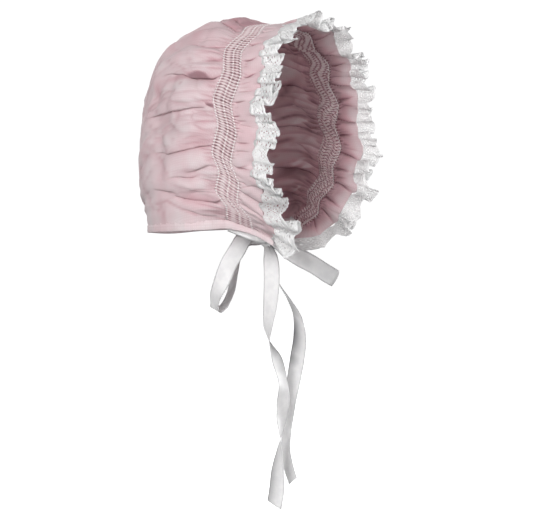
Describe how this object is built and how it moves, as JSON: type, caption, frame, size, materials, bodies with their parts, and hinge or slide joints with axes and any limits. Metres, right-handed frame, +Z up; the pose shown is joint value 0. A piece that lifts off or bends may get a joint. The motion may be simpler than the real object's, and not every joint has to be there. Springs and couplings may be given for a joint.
{
  "type": "baby sun bonnet",
  "caption": "Smocked baby bonnet of fine pale pink cotton with a gathered crown, a frilled brim edged in white lace and white satin ties in a bow under the chin.",
  "frame": {"origin": "inner face of the smocked band, at the top and in the middle of its width, where the bonnet sits on a head", "axes": "+Z up, -Y out of the face opening, +X towards the wearer's left when the wearer looks along -Y"},
  "size_m": [0.1147, 0.1215, 0.2839],
  "materials": {
    "pink_batiste": "pale pink cotton batiste, fine plain weave, matt, slightly see-through",
    "smocked_batiste": "pale pink cotton batiste in fine pleats, held by white embroidery thread",
    "white_lace": "white cotton lace, matt, with open net and corded motifs",
    "white_satin": "white satin ribbon with a soft sheen and fine selvedges"
  },
  "bodies": {
    "root": {"crown": "pink_batiste", "smocked_band": "smocked_batiste", "frilled_brim": "pink_batiste", "lace_edge": "white_lace", "neck_binding": "pink_batiste", "near_tie": "white_satin", "far_tie": "white_satin", "bow_knot": "white_satin", "near_bow_loop": "white_satin", "far_bow_loop": "white_satin", "front_ribbon_tail": "white_satin", "back_ribbon_tail": "white_satin"}
  },
  "joints": []
}
